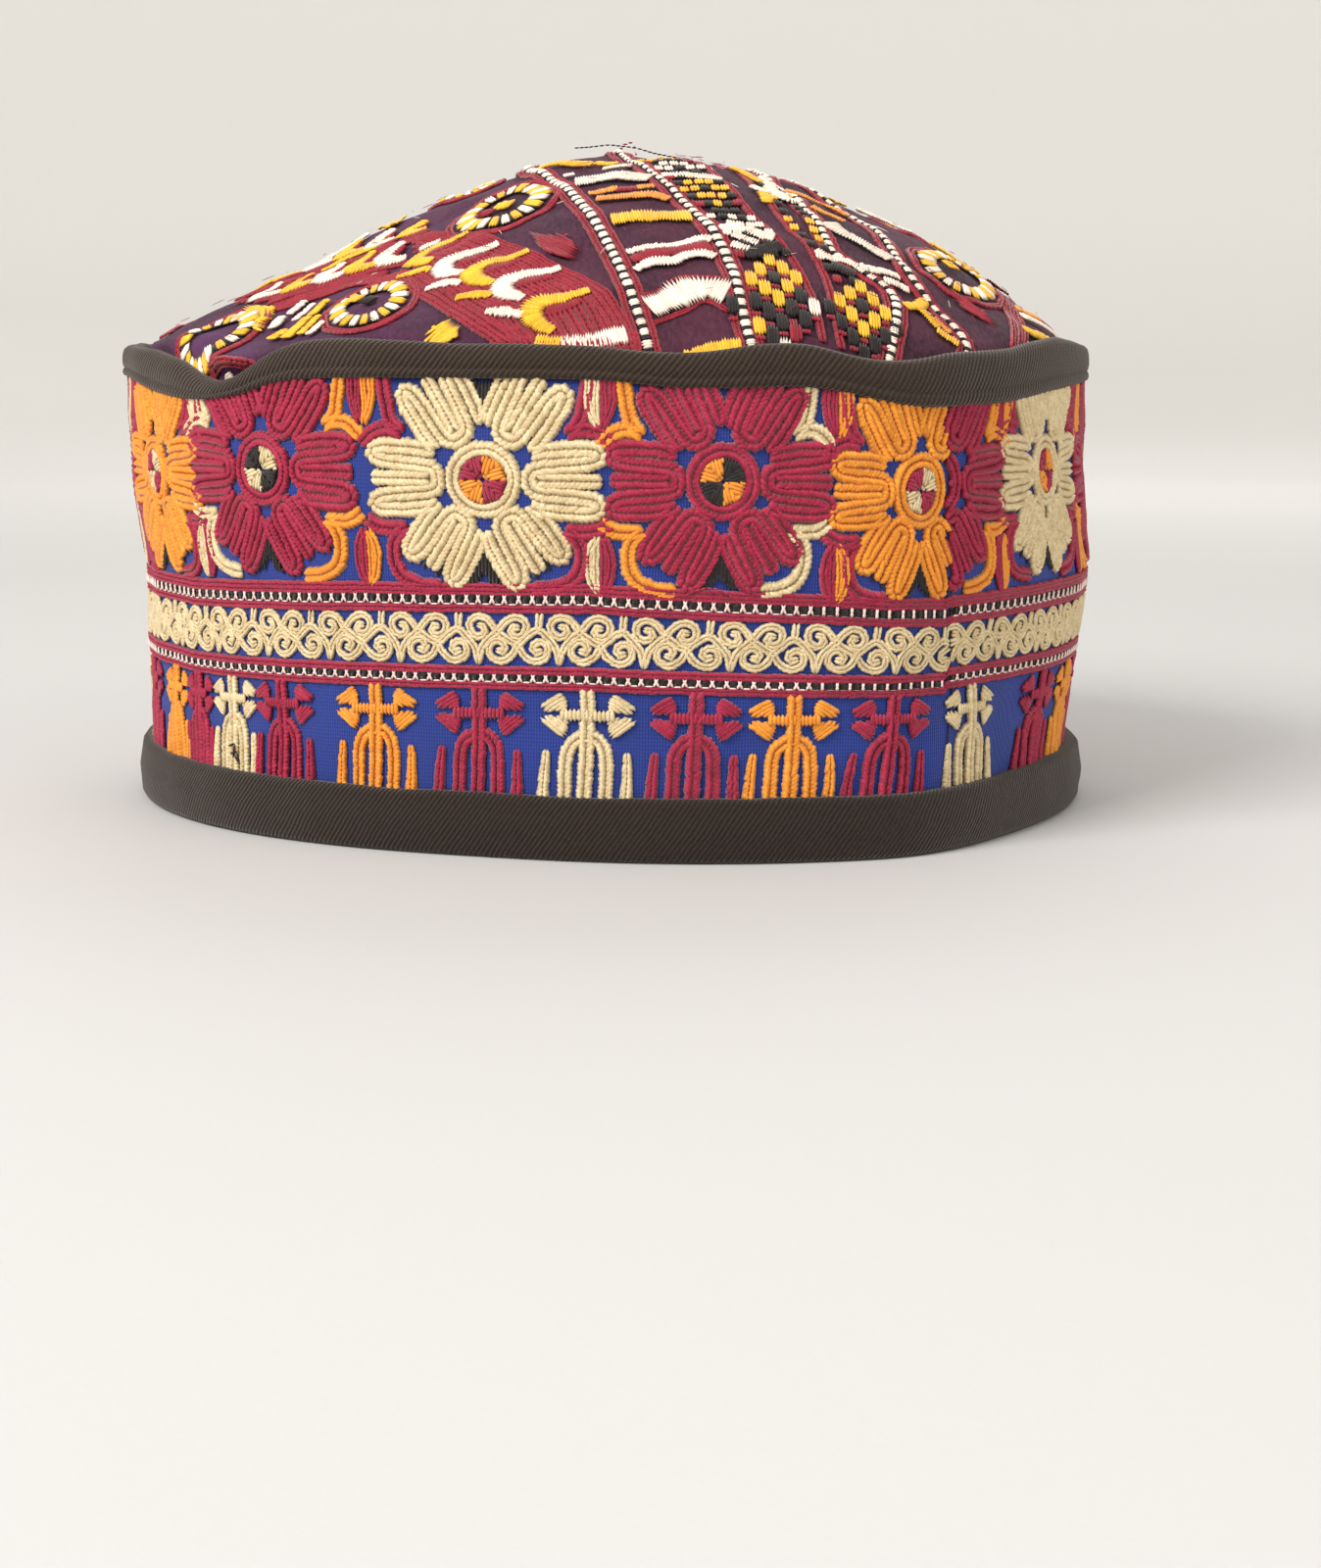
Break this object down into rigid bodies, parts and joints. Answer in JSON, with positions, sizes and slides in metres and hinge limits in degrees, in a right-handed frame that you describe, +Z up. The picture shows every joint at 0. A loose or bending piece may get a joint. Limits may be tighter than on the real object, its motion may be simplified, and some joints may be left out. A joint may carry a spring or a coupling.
{
  "type": "embroidered kufi cap",
  "caption": "Round embroidered cloth cap with an upright band, a low soft dome, black piping round the top and a taped hem, hollow and open below.",
  "frame": {"origin": "bottom centre of the box round the cap, on the surface that the hem stands on", "axes": "+Z up through the dome, -Y the front that the picture shows, +X to the right in that view"},
  "size_m": [0.1879, 0.1846, 0.1236],
  "materials": {
    "crown_cloth": "purple wool with satin-stitch embroidery",
    "band_cloth": "blue plain weave covered with chain stitch",
    "piping_twill": "black twill strip, folded and sewn on",
    "hem_twill": "brown-black twill bias tape"
  },
  "bodies": {
    "root": {"crown": "crown_cloth", "side_band": "band_cloth", "top_piping": "piping_twill", "hem_binding": "hem_twill"}
  },
  "joints": []
}
